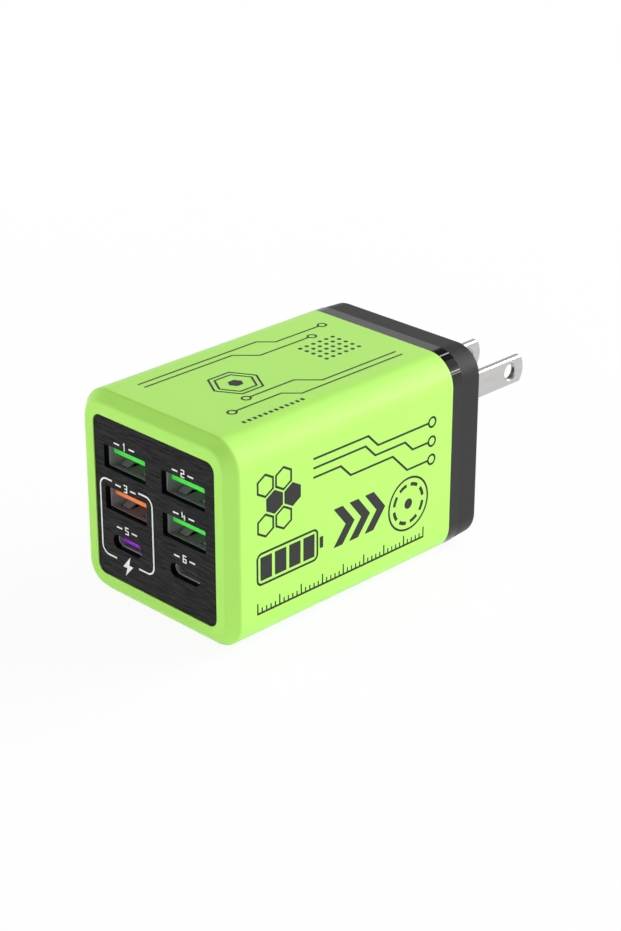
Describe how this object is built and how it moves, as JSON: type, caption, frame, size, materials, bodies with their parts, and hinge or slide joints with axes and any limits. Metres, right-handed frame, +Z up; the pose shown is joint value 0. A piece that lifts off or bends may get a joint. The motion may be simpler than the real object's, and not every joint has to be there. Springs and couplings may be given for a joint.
{
  "type": "multi port desktop charger",
  "caption": "Square-section mains charger with type A and type C charging outlets in a black front panel and a flat-blade mains plug at the rear.",
  "frame": {"origin": "middle of the lower face of the closed body, on the surface it rests on", "axes": "+Y along the body towards the plug blades, so the outlets face -Y; +Z up; +X to the right when the outlets are faced"},
  "size_m": [0.047, 0.093, 0.047],
  "materials": {
    "housing_green": "satin gloss moulded polycarbonate",
    "panel_black": "hairline brushed print under a satin coat",
    "cap_black": "matte moulded, polished on the front band",
    "blade_nickel": "nickel plated brass, stamped",
    "shell_steel": "plated steel sheet",
    "tongue_green": "moulded",
    "tongue_orange": "moulded",
    "tongue_purple": "moulded",
    "tongue_grey": "moulded",
    "contact_gold": "gold flash on copper alloy",
    "plug_black": "moulded",
    "lead_sleeve": "extruded wire sleeve",
    "board_green": "solder mask on glass laminate",
    "sheet_film": "cut polyester film",
    "can_sleeve": "shrink sleeve over aluminium",
    "can_metal": "drawn can",
    "ferrite": "sintered ferrite",
    "bobbin_plastic": "moulded",
    "winding_tape": "polyester tape over copper wire",
    "winding_copper": "enamelled copper wire",
    "filter_yellow": "moulded box",
    "fuse_ceramic": "ceramic tube with plated ends",
    "disc_coat": "dipped resin coat",
    "sink_aluminium": "sheared sheet",
    "chip_black": "moulded resin package",
    "coil_grey": "pressed powder block"
  },
  "bodies": {
    "root": {"main_housing": "housing_green", "front_panel": "panel_black", "rear_cap": "cap_black", "blade_left": "blade_nickel", "blade_right": "blade_nickel", "plug_block": "plug_black", "lead_left": "lead_sleeve", "lead_right": "lead_sleeve", "main_board": "board_green", "port_board": "board_green", "link_header": "bobbin_plastic", "link_pins": "contact_gold", "insulating_sheet": "sheet_film", "type_a_shell_1": "shell_steel", "type_a_tongue_1": "tongue_green", "type_a_contacts_1": "contact_gold", "type_a_shell_2": "shell_steel", "type_a_tongue_2": "tongue_green", "type_a_contacts_2": "contact_gold", "type_a_shell_3": "shell_steel", "type_a_tongue_3": "tongue_orange", "type_a_contacts_3": "contact_gold", "type_a_shell_4": "shell_steel", "type_a_tongue_4": "tongue_green", "type_a_contacts_4": "contact_gold", "type_c_shell_1": "shell_steel", "type_c_tongue_1": "tongue_purple", "type_c_contacts_1": "contact_gold", "type_c_shell_2": "shell_steel", "type_c_tongue_2": "tongue_grey", "type_c_contacts_2": "contact_gold", "output_can_1": "can_metal", "output_can_2": "can_metal", "output_can_3": "can_metal", "bulk_can_1": "can_sleeve", "bulk_can_2": "can_sleeve", "transformer_core_lower": "ferrite", "transformer_core_upper": "ferrite", "transformer_bobbin": "bobbin_plastic", "transformer_winding": "winding_tape", "choke_core": "ferrite", "choke_winding": "winding_copper", "choke_cradle": "bobbin_plastic", "filter_box": "filter_yellow", "fuse": "fuse_ceramic", "thermistor": "disc_coat", "heat_sink": "sink_aluminium", "power_switch": "chip_black", "bridge_rectifier": "chip_black", "control_chip": "chip_black", "output_inductor_1": "coil_grey", "output_inductor_2": "coil_grey", "outlet_chip_1": "chip_black", "outlet_chip_2": "chip_black"}
  },
  "joints": []
}
